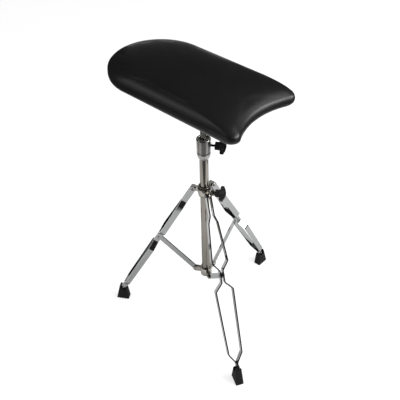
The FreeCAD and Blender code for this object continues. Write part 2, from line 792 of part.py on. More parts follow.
def build_stay(azimuth):
    """Straight brace with round ends, and an eye at each end."""
    length = stay_length()
    half = bar_width / 2
    edges = [
        arc(Vector(0, 0, half), Vector(-half, 0, 0), Vector(0, 0, -half)),
        line(Vector(0, 0, -half), Vector(length, 0, -half)),
        arc(Vector(length, 0, -half), Vector(length + half, 0, 0), Vector(length, 0, half)),
        line(Vector(length, 0, half), Vector(0, 0, half)),
    ]
    face = Part.Face(Part.Wire(edges))
    face.translate(Vector(0, -bar_thickness / 2, 0))
    stay = face.extrude(SIDE * bar_thickness)
    stay = stay.cut(cross_rod(0, mid_rivet_diameter / 2 + running_gap, bar_width))
    stay = stay.cut(cross_rod(length, mid_rivet_diameter / 2, bar_width))
    return on_stay(stay, azimuth)


def build_stay_shank(azimuth):
    """The middle of the mid rivet, held in the stay's outer eye."""
    reach = leg_mid_spread - bar_thickness / 2 - side_gap
    return on_stay(cross_rod(stay_length(), mid_rivet_diameter / 2, reach), azimuth)


def on_stay(shape, azimuth):
    """Moves a shape from stay axes (X along the stay) to its place on the stand."""
    copy = shape.copy()
    copy.rotate(ORIGIN, SIDE, stay_angle() - 90)
    copy.translate(Vector(pivot_radius_out, 0, bracket_pivot_height))
    return turned(copy, azimuth)


def build_foot(azimuth):
    """Rubber boot on a leg's tip, flat on the floor, with ears beside the bar."""
    half = foot_width / 2
    top_half = foot_top_width / 2
    floor = rounded_rectangle(foot_inner_reach, foot_outer_reach, -half, half, 0, foot_corner_radius)
    depth = foot_top_depth / 2
    top = rounded_rectangle(-depth, depth, -top_half, top_half, 0, foot_corner_radius)
    top.rotate(ORIGIN, SIDE, -leg_angle)
    station = foot_top_station
    top.translate(Vector(pivot_radius_out + station * leg_sin, 0,
                         collar_pivot_height - station * leg_cos))
    foot = Part.makeLoft([floor, top], True, True)
    pocket_half = bar_thickness + seat_gap
    notch = block(Vector(station - cut_overrun, -foot_width, -leg_tip_width / 2 - skin_gap),
                  Vector(station + foot_notch_depth, foot_width, leg_tip_width / 2 + skin_gap))
    pocket = block(Vector(station - cut_overrun, -pocket_half, -leg_tip_width / 2 - skin_gap),
                   Vector(leg_length + seat_gap, pocket_half, leg_tip_width / 2 + skin_gap))
    rivet_half = pocket_half + rivet_head_height
    rivet_room = block(Vector(station - cut_overrun, -rivet_half, -tip_rivet_diameter),
                       Vector(leg_length + seat_gap, rivet_half, tip_rivet_diameter))
    cavity = on_leg(notch.fuse(pocket).fuse(rivet_room), 0)
    foot = foot.cut(cavity)
    pitch = (foot_outer_reach - foot_inner_reach) / (foot_groove_count + 1)
    for index in range(foot_groove_count):
        middle = foot_inner_reach + pitch * (index + 1)
        groove = block(Vector(middle - foot_groove_width / 2, -foot_width, -cut_overrun),
                       Vector(middle + foot_groove_width / 2, foot_width, foot_groove_depth))
        foot = foot.cut(groove)
    return turned(foot, azimuth)


def build_post():
    """Inner post: a tube with a groove near its top for the swivel screw."""
    post = ring(post_radius, post_radius - post_wall, post_bottom_height, post_top_height)
    solid_top = pillar(post_radius - post_wall, hub_bottom_height, post_top_height)
    post = post.fuse(solid_top).removeSplitter()
    groove_middle = hub_bottom_height + hub_screw_rise
    half = groove_height / 2
    groove = ring(post_diameter, post_radius - groove_depth, groove_middle - half, groove_middle + half)
    return post.cut(groove)


def build_post_glide():
    """Nylon glide on the post's lower end, inside the main tube."""
    flange = ring(tube_bore - running_gap, post_radius - 2 * post_wall,
                  post_bottom_height - post_glide_flange, post_bottom_height)
    stem = ring(post_radius - post_wall - seat_gap / 2, post_radius - 2 * post_wall,
                post_bottom_height - post_glide_flange, post_bottom_height + post_glide_length)
    return flange.fuse(stem).removeSplitter()


def build_stop_ring():
    """Ring pressed on the post, which carries the swivel hub."""
    bottom = stop_ring_top_height - stop_ring_height
    return ring(stop_ring_radius, post_radius, bottom, stop_ring_top_height)


def build_hub():
    """Swivel hub welded under the plate, with four ribs and a set screw hole."""
    top = plate_bottom_height + cut_overrun
    hub = pillar(hub_radius, hub_bottom_height, top)
    for index in range(hub_rib_count):
        rib_points = [
            Vector(0, -hub_rib_thickness / 2, top),
            Vector(hub_rib_reach, -hub_rib_thickness / 2, top),
            Vector(hub_rib_reach, -hub_rib_thickness / 2, plate_bottom_height - hub_rib_thickness),
            Vector(hub_radius, -hub_rib_thickness / 2, plate_bottom_height - hub_rib_height),
            Vector(0, -hub_rib_thickness / 2, plate_bottom_height - hub_rib_height),
        ]
        rib = prism(rib_points, SIDE * hub_rib_thickness)
        hub = hub.fuse(turned(rib, 360 * (index + 0.5) / hub_rib_count))
    half = plate_size / 2
    above = block(Vector(-half, -half, plate_bottom_height), Vector(half, half, top + plate_size))
    hub = hub.removeSplitter().cut(on_pad(above))
    bore = pillar(post_radius + running_gap, hub_bottom_height - cut_overrun, post_top_height + side_gap)
    height = hub_bottom_height + hub_screw_rise
    screw_hole = rod(hub_screw_diameter / 2 + running_gap, Vector(0, 0, height),
                     Vector(2 * hub_radius, 0, height))
    return hub.cut(bore).cut(turned(screw_hole, hub_screw_azimuth))


def build_hub_screw():
    """Dog-point screw in the hub that runs in the post's groove."""
    inner = post_radius - groove_depth + side_gap
    outer = hub_radius + hub_screw_stand_out
    screw = grub_screw(hub_screw_diameter, hub_bottom_height + hub_screw_rise, inner, outer)
    return turned(screw, hub_screw_azimuth)


def plate_screw_places():
    reach = plate_size / 2 - plate_screw_inset
    return [(x, y) for x in (-reach, reach) for y in (-reach, reach)]


def build_plate():
    """Square steel plate that joins the hub to the pad's board."""
    half = plate_size / 2
    wire = rounded_rectangle(-half, half, -half, half, plate_bottom_height, plate_corner_radius)
    plate = Part.Face(wire).extrude(UP * plate_thickness)
    for x, y in plate_screw_places():
        base = Vector(x, y, plate_bottom_height - cut_overrun)
        reach = plate_thickness + 2 * cut_overrun
        plate = plate.cut(rod(screw_shank_radius + seat_gap, base, base + UP * reach))
    return on_pad(plate)


def build_plate_screws():
    """Four pan head screws through the plate into the board."""
    screws = []
    for x, y in plate_screw_places():
        seat = Vector(x, y, plate_bottom_height)
        crown = screw_head_radius * screw_crown_share
        head = Part.makeCone(screw_head_radius, crown, screw_head_height, seat, -UP)
        shank = rod(screw_shank_radius, seat, seat + UP * screw_length)
        low = plate_bottom_height - screw_head_height - cut_overrun
        high = plate_bottom_height - screw_head_height / 2
        arm = screw_head_radius * screw_cross_share
        width = screw_head_radius * screw_cross_width_share
        wide = block(Vector(x - arm, y - width, low), Vector(x + arm, y + width, high))
        tall = block(Vector(x - width, y - arm, low), Vector(x + width, y + arm, high))
        screws.append(on_pad(head.fuse(shank).removeSplitter().cut(wide.fuse(tall))))
    return screws


def on_pad(shape):
    """Moves a level pad piece to its small tilt and turn on top of the hub."""
    copy = shape.copy()
    copy.rotate(Vector(0, 0, plate_bottom_height), SIDE, pad_tilt)
    return turned(copy, pad_turn)


def pad_outline(side_inset, tip_inset, hollow_inset, height):
    """Plan of the pad at one level: round tip at -X, hollow end at +X."""
    half = pad_width / 2 - side_inset
    narrowing = 2 * half / pad_width
    side_radius = pad_round_side_radius * narrowing
    round_depth = pad_round_depth * narrowing
    offset = half - side_radius
    tip_radius = (offset ** 2 + round_depth ** 2 - side_radius ** 2) / (2 * (round_depth - side_radius))
    tip_x = tip_inset - pad_tip_reach
    round_x = tip_x + round_depth
    tip_centre_x = tip_x + tip_radius
    toward = math.atan2(offset, round_x - tip_centre_x)
    hollow_radius = ((pad_width / 2) ** 2 + pad_hollow_depth ** 2) / (2 * pad_hollow_depth)
    hollow_centre_x = pad_corner_reach - pad_hollow_depth + hollow_radius
    hollow_radius = hollow_radius + hollow_inset
    corner = pad_corner_radius + pad_corner_growth_share * max(side_inset, 0)
    corner = min(corner, pad_corner_limit_share * half)
    corner_y = half - corner
    corner_x = hollow_centre_x - math.sqrt((hollow_radius + corner) ** 2 - corner_y ** 2)

    def at(x, y):
        return Vector(x, y, height)

    def about(x, y, radius, angle):
        return at(x + radius * math.cos(angle), y + radius * math.sin(angle))

    join_angle = math.atan2(-corner_y, hollow_centre_x - corner_x)
    corner_join = about(corner_x, corner_y, corner, join_angle)
    corner_middle = about(corner_x, corner_y, corner, (join_angle + math.pi / 2) / 2)
    side_middle_angle = (math.pi / 2 + toward) / 2
    tip_join = about(round_x, offset, side_radius, toward)
    tip_middle = at(tip_x, 0)
    hollow_middle = at(hollow_centre_x - hollow_radius, 0)

    def mirrored(point):
        return Vector(point.x, -point.y, point.z)

    upper_side = about(round_x, offset, side_radius, side_middle_angle)
    edges = [
        line(at(corner_x, half), at(round_x, half)),
        arc(at(round_x, half), upper_side, tip_join),
        arc(tip_join, tip_middle, mirrored(tip_join)),
        arc(mirrored(tip_join), mirrored(upper_side), at(round_x, -half)),
        line(at(round_x, -half), at(corner_x, -half)),
        arc(at(corner_x, -half), mirrored(corner_middle), mirrored(corner_join)),
        arc(mirrored(corner_join), hollow_middle, corner_join),
        arc(corner_join, corner_middle, at(corner_x, half)),
    ]
    return Part.Wire(edges)


def even_outline(inset, height):
    """Plan of the pad drawn in alike all round."""
    return pad_outline(inset, inset, inset, height)


def pad_body(shrink, floor):
    """Crowned pad form, drawn in by a distance all round, from a floor height up."""
    wires = []
    for height_share, side_share, tip_share, hollow_share in pad_level_shares:
        height = pad_bottom_height + (pad_thickness - shrink) * height_share
        side_inset = pad_width / 2 * side_share + shrink
        tip_inset = pad_half_length * tip_share + shrink
        hollow_inset = pad_half_length * hollow_share + shrink
        wires.append(pad_outline(side_inset, tip_inset, hollow_inset, max(height, floor)))
    return Part.makeLoft(wires, True, False)


def build_cover():
    """Stretched vinyl cover: a thin shell, open below, that wraps under the board."""
    outer = pad_body(0, pad_bottom_height)
    inner = pad_body(pad_cover_thickness, board_bottom_height)
    opening = Part.Face(even_outline(pad_wrap_width, pad_bottom_height - cut_overrun))
    depth = cut_overrun + pad_cover_thickness + pad_board_thickness / 2
    return on_pad(outer.cut(inner).cut(opening.extrude(UP * depth)))


def build_foam():
    """Foam block between the board and the cover."""
    floor = board_bottom_height + pad_board_thickness
    whole = pad_body(pad_cover_thickness + skin_gap, board_bottom_height)
    low = Part.Face(even_outline(-cut_overrun, board_bottom_height - cut_overrun))
    return on_pad(whole.cut(low.extrude(UP * (floor - board_bottom_height + cut_overrun))))


def build_board():
    """Plywood board under the foam, drilled for the plate's screws."""
    face = Part.Face(even_outline(pad_board_inset, board_bottom_height))
    board = face.extrude(UP * pad_board_thickness)
    for x, y in plate_screw_places():
        base = Vector(x, y, board_bottom_height - cut_overrun)
        reach = screw_length - plate_thickness + cut_overrun
        board = board.cut(rod(screw_shank_radius, base, base + UP * reach))
    return on_pad(board)


def build_cloth():
    """Thin dust cloth over the cover's turned edge, cut out round the plate."""
    bottom = pad_bottom_height - cloth_thickness
    cloth = Part.Face(even_outline(cloth_inset, bottom)).extrude(UP * cloth_thickness)
    half = plate_size / 2 + cloth_hole_margin
    hole = rounded_rectangle(-half, half, -half, half, bottom - cut_overrun, plate_corner_radius)
    return on_pad(cloth.cut(Part.Face(hole).extrude(UP * (cloth_thickness + 2 * cut_overrun))))


def build_staples():
    """Staple crowns round the edge of the dust cloth."""
    staples = []
    top = pad_bottom_height - cloth_thickness
    inset = cloth_inset + staple_edge
    side_y = pad_width / 2 - inset
    start = -pad_tip_reach + pad_round_depth
    end = pad_corner_reach - pad_hollow_depth - inset
    step = (end - start) / (staples_per_side - 1)
    for index in range(staples_per_side):
        for side in (1, -1):
            staples.append(staple(start + step * index, side * side_y, 0, top))
    radius = pad_width / 2 - inset
    for index in range(staples_on_round):
        angle = math.pi / 2 + math.pi * (index + 1) / (staples_on_round + 1)
        x = start + (pad_round_depth - inset) * math.cos(angle)
        y = radius * math.sin(angle)
        staples.append(staple(x, y, math.degrees(angle) + 90, top))
    for side in (-1, 0, 1):
        staples.append(staple(end + staple_edge * abs(side), side * side_y / 2, 90, top))
    return staples


def staple(x, y, degrees, top):
    """One staple crown, centred at a place and turned."""
    crown = block(Vector(-staple_length / 2, -staple_width / 2, top - staple_height),
                  Vector(staple_length / 2, staple_width / 2, top))
    crown.rotate(ORIGIN, UP, degrees)
    crown.translate(Vector(x, y, 0))
    return on_pad(crown)


def main():
    os.makedirs("parts", exist_ok=True)
    save("main_tube", build_tube())
    save("height_sleeve", build_sleeve())
    save("sleeve_grub_screw", build_sleeve_screw())
    save("sleeve_bushing", build_sleeve_bushing())
    save("height_pressure_shoe", build_shoe(sleeve_bolt_height, post_radius))
    save("height_bolt_screw", build_bolt_screw(sleeve_bolt_height, post_radius))
    save("height_bolt_knob", build_knob(sleeve_bolt_height, height_knob_turn))
    save("tripod_collar", build_collar())
    save("collar_liner", build_collar_liner())
    save("collar_pressure_shoe", build_shoe(collar_bolt_height, tube_radius))
    save("collar_bolt_screw", build_bolt_screw(collar_bolt_height, tube_radius))
    save("collar_bolt_knob", build_knob(collar_bolt_height, collar_knob_turn))
    save("leg_hinge_rivets", *build_collar_rivets())
    save("lower_bracket", build_bracket())
    save("bracket_roll_pin", build_bracket_pin())
    save("bracket_plug", build_plug())
    save("stay_hinge_rivets", *build_bracket_rivets())
    for name, azimuth in leg_azimuths.items():
        save(name + "_leg_bar_a", build_leg_bar(1, azimuth))
        save(name + "_leg_bar_b", build_leg_bar(-1, azimuth))
        save(name + "_mid_rivet", build_mid_rivet(azimuth))
        save(name + "_tip_rivet", build_tip_rivet(azimuth))
        save(name + "_foot", build_foot(azimuth))
        save(name + "_stay", build_stay(azimuth))
        save(name + "_stay_shank", build_stay_shank(azimuth))
    save("inner_post", build_post())
    save("post_glide", build_post_glide())
    save("post_stop_ring", build_stop_ring())
    save("swivel_hub", build_hub())
    save("swivel_screw", build_hub_screw())
    save("pad_plate", build_plate())
    save("plate_screws", *build_plate_screws())
    save("pad_board", build_board())
    save("pad_foam", build_foam())
    save("pad_cover", build_cover())
    save("dust_cloth", build_cloth())
    save("cloth_staples", *build_staples())


main()
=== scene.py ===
import json
import math

import bmesh
import bpy
import numpy as np
from mathutils import Matrix, Vector, noise
from mathutils.kdtree import KDTree


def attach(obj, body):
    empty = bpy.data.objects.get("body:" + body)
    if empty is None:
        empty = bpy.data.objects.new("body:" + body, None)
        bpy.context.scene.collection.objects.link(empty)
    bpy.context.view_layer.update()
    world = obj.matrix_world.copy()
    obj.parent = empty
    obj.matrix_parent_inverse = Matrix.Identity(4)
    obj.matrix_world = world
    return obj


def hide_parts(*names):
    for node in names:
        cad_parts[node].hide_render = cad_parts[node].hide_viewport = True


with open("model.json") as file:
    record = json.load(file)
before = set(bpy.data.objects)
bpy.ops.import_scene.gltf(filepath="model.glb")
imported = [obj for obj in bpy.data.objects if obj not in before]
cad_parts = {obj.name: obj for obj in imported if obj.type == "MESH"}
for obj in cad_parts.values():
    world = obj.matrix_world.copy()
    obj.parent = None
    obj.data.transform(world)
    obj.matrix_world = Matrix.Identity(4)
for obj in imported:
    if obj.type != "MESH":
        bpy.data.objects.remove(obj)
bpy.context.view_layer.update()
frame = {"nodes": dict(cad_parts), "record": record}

# Arm rest stand: a black padded rest on a chromed folding tripod.
# Metres, Z up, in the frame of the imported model. Small sizes are written in millimetres times MM.

nodes = frame["nodes"]
MM = 0.001

# View of the stand
view_distance = 1.5188
view_elevation = math.radians(40.12)
view_roll = math.radians(-1.55)
view_target = Vector((-0.01158, 0, 0.40673))
view_turn = math.radians(42.99)
view_lens_mm = 55.71
view_sensor_mm = 36
view_near_limit = 0.05

# Floor: the sheet that metal mirrors, its edges along and across the view, and its paint.
# Metal sees a painted shadow on the floor under the stand: at the centre only a share of the paint's
# light, and all of it past a reach; both are set below.
floor_height = -0.0002
floor_edge = 7.0
sheet_back = -2.0
sheet_front = 0.54
sheet_left = -0.76
sheet_right = 0.70
near_floor_front = 1.6
floor_glow = 0.27
mirrored_floor_colour = 0.73
painted_floor_shadow_share = 0.42
painted_floor_shadow_reach = 0.38
view_floor_colour = 0.40
view_floor_glow = 0.62
near_floor_glow = 0.2

# Card behind the main tube, and the tent round everything, which only shiny parts see
card_azimuth = math.radians(133)
card_distance = 0.3
card_width = 0.4
card_bottom = 0.41
card_top = 0.78
card_glow = 0.6
tent_radius = 3.4
tent_columns = 48
tent_rows = 24
tent_glow = 0.05

# Light: the share of the white sky that lights the stand, and the softboxes, with their azimuth
# and elevation in degrees, width, height and radiance
world_light = 0.75
softbox_distance = 2.2
softbox_aim_height = 0.55
softboxes = {
    "left_softbox": (-120, 22, 1.2, 1.5, 1.4),
    "left_high_softbox": (-135, 52, 1.3, 0.9, 0.5),
    "right_softbox": (27, 27, 2.0, 0.85, 11.5),
    "right_high_softbox": (48, 50, 1.3, 0.8, 1.8),
}

# Pad sizes, level, before its tilt and turn
pad_pivot_height = 701.2 * MM
pad_tilt = math.radians(2.7)
pad_turn = math.radians(1.7)
pad_bottom = 703.0 * MM
pad_thickness = 49.0 * MM
pad_width = 222.0 * MM
pad_tip_reach = 244.5 * MM
pad_corner_reach = 186.0 * MM
pad_hollow_depth = 38.0 * MM
pad_round_flattening = 1.0 * MM
pad_round_offset = 10.5 * MM
pad_corner_radius = 15.0 * MM
pad_corner_growth = 1.8
pad_corner_limit = 0.75

# Steps along one side of the pad's outline: the straight side, the shoulder, the rounded end,
# the corner and the hollow end
side_steps = 34
shoulder_steps = 6
tip_steps = 40
corner_steps = 14
hollow_steps = 30

# Height, side inset, tip inset and hollow inset of each level, as shares of the thickness,
# the half width and the half length
pad_levels = [
    (0.0, 0.030, 0.017, 0.017),
    (0.12, 0.010, 0.006, 0.006),
    (0.30, 0.003, 0.002, 0.003),
    (0.44, 0.0035, 0.008, 0.019),
    (0.50, 0.0105, 0.020, 0.038),
    (0.60, 0.024, 0.044, 0.077),
    (0.71, 0.052, 0.110, 0.170),
    (0.76, 0.074, 0.160, 0.240),
    (0.80, 0.102, 0.210, 0.300),
    (0.835, 0.136, 0.265, 0.360),
    (0.87, 0.188, 0.330, 0.430),
    (0.91, 0.270, 0.425, 0.520),
    (0.945, 0.375, 0.530, 0.620),
    (0.97, 0.495, 0.630, 0.710),
    (0.99, 0.640, 0.730, 0.800),
    (1.0, 0.790, 0.810, 0.870),
]
level_rings = 44
lower_edge_rise = 0.9 * MM
crown_shares = (0.75, 0.5, 0.25)

# The cover's hem under the pad, from its free edge outwards: inset from the wall, and rise
hem_path = (
    (24.0 * MM, 1.15 * MM),
    (23.0 * MM, 0.2 * MM),
    (16.0 * MM, 0.0),
    (9.0 * MM, 0.0),
    (5.0 * MM, 0.0),
    (2.0 * MM, 0.25 * MM),
)
hem_thickness = 1.1 * MM

# The cover is built a little small and blown up as cloth on a trial pad
cover_slack = 0.7 * MM
cover_slack_height = 0.3
trial_cell = 5.0 * MM
trial_frames = 20
trial_pinned_height = 3.0 * MM
trial_pressure = 4
trial_stretch = 0.004
swell_limit = 1.8 * MM
swell_neighbours = 8
swell_reach = 3.0 * MM
swell_fade_height = 8.0 * MM

# Dust cloth under the pad: its inset from the edge, its hole round the mounting plate, and its sag
cloth_inset = 12.0 * MM
cloth_bottom = pad_bottom - 0.5 * MM
cloth_thickness = 0.3 * MM
cloth_hole_half = 58.0 * MM
cloth_hole_radius = 10.0 * MM
cloth_steps = 18
cloth_sag = 0.5 * MM
# Ripples and finer puckers of the dust cloth: waves per metre, share of the sag, layer of noise
cloth_waves = ((22, 1.0, 3.0), (60, 0.5, 7.0))

# Threads of the wing bolts
bolt_azimuth = math.radians(30)
thread_pitch = 1.0 * MM
thread_depth = 0.55 * MM
thread_root = 2.45 * MM
thread_end_taper = 1.0 * MM
thread_rings_per_turn = 5
thread_ring_points = 20

# Parts with softened edges, and how wide these are
soft_edges = {
    "height_bolt_knob": 0.7 * MM,
    "collar_bolt_knob": 0.7 * MM,
    "rear_foot": 0.9 * MM,
    "left_foot": 0.9 * MM,
    "front_foot": 0.9 * MM,
    "lower_bracket": 0.4 * MM,
    "tripod_collar": 0.4 * MM,
}
soft_edge_angle = math.radians(40)
soft_edge_segments = 2
weld_reach = 0.002 * MM


class Signal:
    """A number that varies over a surface. Sums on it become Math nodes."""

    def __init__(self, shader, socket):
        self.shader = shader
        self.socket = socket

    def __add__(self, other):
        return self.shader.math("ADD", self, other)

    def __radd__(self, other):
        return self.shader.math("ADD", other, self)

    def __sub__(self, other):
        return self.shader.math("SUBTRACT", self, other)

    def __rsub__(self, other):
        return self.shader.math("SUBTRACT", other, self)

    def __mul__(self, other):
        return self.shader.math("MULTIPLY", self, other)

    def __rmul__(self, other):
        return self.shader.math("MULTIPLY", other, self)

    def __truediv__(self, other):
        return self.shader.math("DIVIDE", self, other)

    def __rtruediv__(self, other):
        return self.shader.math("DIVIDE", other, self)


class Shader:
    """The nodes of a material or of the world, and the shader that they feed."""

    def __init__(self, owner, shader_node):
        owner.use_nodes = True
        self.tree = owner.node_tree
        self.surface = self.tree.nodes[shader_node]

    def plug(self, socket, value):
        if isinstance(value, Signal):
            self.tree.links.new(value.socket, socket)
        elif isinstance(value, (tuple, list)) and len(value) == 3 and socket.type == "RGBA":
            socket.default_value = (*value, 1)
        else:
            socket.default_value = value

    def feed(self, name, value):
        self.plug(self.surface.inputs[name], value)

    def node(self, kind, settings=None, sockets=None, output=0):
        """Makes a node: its settings first, then the values or links of its sockets."""
        made = self.tree.nodes.new("ShaderNode" + kind)
        for key, value in (settings or {}).items():
            if key == "stops":
                for stop, (position, colour) in enumerate(value):
                    ramp = made.color_ramp.elements
                    mark = ramp[stop] if stop < len(ramp) else ramp.new(position)
                    mark.position = position
                    mark.color = (colour, colour, colour, 1)
            else:
                setattr(made, key, value)
        for key, value in (sockets or {}).items():
            self.plug(made.inputs[key], value)
        return Signal(self, made.outputs[output])

    def math(self, operation, *values):
        return self.node("Math", {"operation": operation}, dict(enumerate(values)))

    def ray(self, kind):
        """One for rays of this kind and nothing for others."""
        return self.node("LightPath", output=f"Is {kind} Ray")


class Finish(Shader):
    """One procedural material: its surface shader and the patterns that feed it."""

    def __init__(self, name, **fixed):
        self.material = bpy.data.materials.new(name)
        super().__init__(self.material, "Principled BSDF")
        for socket, value in fixed.items():
            self.feed(socket.replace("_", " "), value)
        self.place = self.node("TexCoord", output="Object")

    def ramp(self, value, *stops):
        return self.node("ValToRGB", {"stops": stops}, {"Fac": value})

    def blend(self, share, first, second):
        """Mix of two colours."""
        return self.node("Mix", {"data_type": "RGBA"}, {0: share, 6: first, 7: second}, output=2)

    def noise(self, scale, detail=3.0, roughness=0.5, vector=None):
        place = vector or self.place
        sockets = {"Vector": place, "Scale": scale, "Detail": detail, "Roughness": roughness}
        return self.node("TexNoise", None, sockets)

    def streaks(self, scales, detail, roughness, turn=(0, 0, 0)):
        """Noise with a scale of its own along each axis, so that it runs along the lowest."""
        place = self.node("Mapping", None, {"Vector": self.place, "Scale": scales, "Rotation": turn})
        return self.noise(1.0, detail, roughness, place)

    def cells(self, scale, feature="F1", vector=None, spread=1.0):
        """Cell pattern for grain, pebbles, specks or pressed dots."""
        sockets = {"Vector": vector or self.place, "Scale": scale, "Randomness": spread}
        return self.node("TexVoronoi", {"feature": feature}, sockets)

    def bump(self, height, strength, distance):
        sockets = {"Height": height, "Strength": strength, "Distance": distance}
        self.feed("Normal", self.node("Bump", None, sockets))

    def worn_edges(self, most, low, high):
        """Share that rises on raised edges, from how pointed the surface is."""
        point = self.node("NewGeometry", output="Pointiness")
        return self.ramp(point, (low, 0), (high, 1)) * most


def grey(value):
    return value, value, value


def darker(tint, share):
    return [shade * share for shade in tint]


def bright_chrome(name, tint, roughness, brushed=0.0):
    """Chrome plate: faint cloudiness, fine wipe marks and a few dull specks."""
    plate = Finish(name, Metallic=1.0)
    cloud = plate.noise(9.0, detail=3.0, roughness=0.55)
    wipes = plate.streaks((300, 300, 14), detail=2.0, roughness=0.5)
    specks = plate.ramp(plate.cells(420.0), (0.02, 1), (0.09, 0))
    plate.feed("Base Color", plate.blend(cloud * 0.6 + specks * 0.35, tint, darker(tint, 0.78)))
    plate.feed("Roughness", cloud * 0.03 + wipes * (0.03 + brushed) + specks * 0.15 + roughness)
    plate.bump(wipes * 0.7 + cloud * 0.5, strength=0.05 + brushed, distance=0.1 * MM)
    return plate.material


def cast_chrome(name, tint, roughness):
    """Chrome on a casting: the plate follows a slightly uneven, polished surface."""
    plate = Finish(name, Metallic=1.0)
    ripple = plate.noise(90.0, detail=3.0, roughness=0.5)
    cloud = plate.noise(22.0, detail=4.0, roughness=0.6)
    pits = plate.ramp(plate.cells(650.0), (0.03, 1), (0.12, 0))
    plate.feed("Base Color", plate.blend(cloud * 0.7 + pits * 0.4, tint, darker(tint, 0.62)))
    plate.feed("Roughness", cloud * 0.12 + pits * 0.2 + roughness)
    plate.bump(ripple * 0.8 - pits * 0.3, strength=0.25, distance=0.4 * MM)
    return plate.material


def bar_steel(name, tint, roughness):
    """Chromed flat bar: mill lines along it show through the plate."""
    steel = Finish(name, Metallic=1.0)
    cloud = steel.noise(14.0, detail=4.0, roughness=0.6)
    lines = steel.streaks((160, 160, 30), detail=2.0, roughness=0.4)
    scuffs = steel.ramp(steel.noise(55.0, detail=5.0, roughness=0.7), (0.58, 0), (0.72, 1))
    steel.feed("Base Color", steel.blend(cloud * 0.55 + scuffs * 0.3, tint, darker(tint, 0.7)))
    steel.feed("Roughness", cloud * 0.03 + lines * 0.03 + scuffs * 0.06 + roughness)
    steel.bump(lines * 0.6 + cloud * 0.4, strength=0.08, distance=0.15 * MM)
    return steel.material


def plated(name, tint, roughness, tarnish):
    """Thin plating on small hardware: cloudy, with patches of tarnish and fine marks."""
    metal = Finish(name, Metallic=1.0)
    cloud = metal.noise(120.0, detail=4.0, roughness=0.6)
    marks = metal.streaks((700, 700, 90), detail=3.0, roughness=0.6)
    metal.feed("Base Color", metal.blend(cloud * 0.8, tint, darker(tint, tarnish)))
    metal.feed("Roughness", cloud * 0.16 + marks * 0.08 + roughness)
    metal.bump(marks + cloud * 0.5, strength=0.2, distance=0.1 * MM)
    return metal.material


def moulded(name, tint, roughness, grain_scale, grain_depth, shine=0.35):
    """Moulded plastic or rubber: spark-eroded grain, paler where it is rubbed."""
    body = Finish(name, Specular_IOR_Level=shine)
    grain = body.cells(grain_scale, "SMOOTH_F1")
    fine = body.noise(grain_scale * 1.7, detail=3.0, roughness=0.6)
    patch = body.noise(40.0, detail=3.0, roughness=0.6)
    rubbed = body.worn_edges(0.6, low=0.52, high=0.62)
    pale = [shade * 2.0 + 0.006 for shade in tint]
    body.feed("Base Color", body.blend(patch * 0.25 + rubbed, tint, pale))
    body.feed("Roughness", patch * 0.14 + fine * 0.08 - rubbed * 0.12 + roughness)
    body.bump(grain * 0.8 + fine * 0.5, strength=0.35, distance=grain_depth)
    return body.material


def vinyl(name):
    """Black upholstery vinyl: pebbled grain, faint creases and a handled sheen."""
    black = (0.0042, 0.0042, 0.0045)
    worn = (0.0070, 0.0068, 0.0070)
    cover = Finish(name, Specular_IOR_Level=0.4)
    drift = cover.noise(60.0, detail=2.0)
    warp = cover.node("VectorMath", {"operation": "SCALE"}, {0: drift, "Scale": 0.004})
    there = cover.node("VectorMath", {"operation": "ADD"}, {0: cover.place, 1: warp})
    pebbles = cover.cells(900.0, "DISTANCE_TO_EDGE", there)
    valleys = cover.ramp(pebbles, (0.0, 0), (0.22, 1))
    fine = cover.noise(2400.0, detail=2.0, roughness=0.6)
    broad = cover.noise(16.0, detail=3.0, roughness=0.5)
    cover.feed("Base Color", cover.blend(broad * 0.7 + valleys * 0.25, black, worn))
    cover.feed("Roughness", broad * 0.06 - valleys * 0.04 + fine * 0.04 + 0.37)
    cover.bump(valleys * 0.8 + fine * 0.25 + broad * 1.2, strength=0.32, distance=0.09 * MM)
    return cover.material


def dust_cloth_finish(name):
    """Black non-woven cloth: matted fibres with a pressed dot pattern."""
    black = (0.012, 0.012, 0.012)
    dusty = (0.05, 0.05, 0.048)
    cloth = Finish(name, Roughness=0.95, Specular_IOR_Level=0.15)
    fibres = cloth.streaks((900, 2600, 900), detail=5.0, roughness=0.7, turn=(0, 0, 0.5))
    cross = cloth.streaks((2600, 900, 900), detail=5.0, roughness=0.7, turn=(0, 0, -0.4))
    dots = cloth.ramp(cloth.cells(520.0, spread=0.15), (0.12, 1), (0.3, 0))
    mat = fibres * 0.5 + cross * 0.5
    cloth.feed("Base Color", cloth.blend(mat - dots * 0.3, black, dusty))
    cloth.bump(mat - dots * 0.8, strength=0.6, distance=0.25 * MM)
    return cloth.material


def plywood_finish(name):
    """Sanded plywood: long birch figure on the faces and thin ply lines at the edge."""
    pale_birch = (0.60, 0.45, 0.27)
    brown_birch = (0.36, 0.23, 0.12)
    wood = Finish(name)
    figure = wood.streaks((9, 90, 600), detail=4.0, roughness=0.6)
    pores = wood.streaks((120, 1400, 900), detail=3.0, roughness=0.6)
    wood.feed("Base Color", wood.blend(figure * 0.8 + pores * 0.3, pale_birch, brown_birch))
    wood.feed("Roughness", pores * 0.2 + 0.5)
    wood.bump(pores, strength=0.3, distance=0.2 * MM)
    return wood.material


def powder_coat(name):
    """Black powder coat: orange peel with a soft sheen, rubbed at the edges."""
    black = (0.014, 0.014, 0.015)
    rubbed_grey = (0.06, 0.06, 0.06)
    coat = Finish(name, Specular_IOR_Level=0.5)
    peel = coat.noise(700.0, detail=2.0, roughness=0.4)
    patch = coat.noise(30.0, detail=3.0, roughness=0.6)
    rubbed = coat.worn_edges(0.7, low=0.54, high=0.64)
    coat.feed("Base Color", coat.blend(patch * 0.3 + rubbed, black, rubbed_grey))
    coat.feed("Roughness", patch * 0.12 + peel * 0.1 + 0.34)
    coat.bump(peel, strength=0.35, distance=0.15 * MM)
    return coat.material


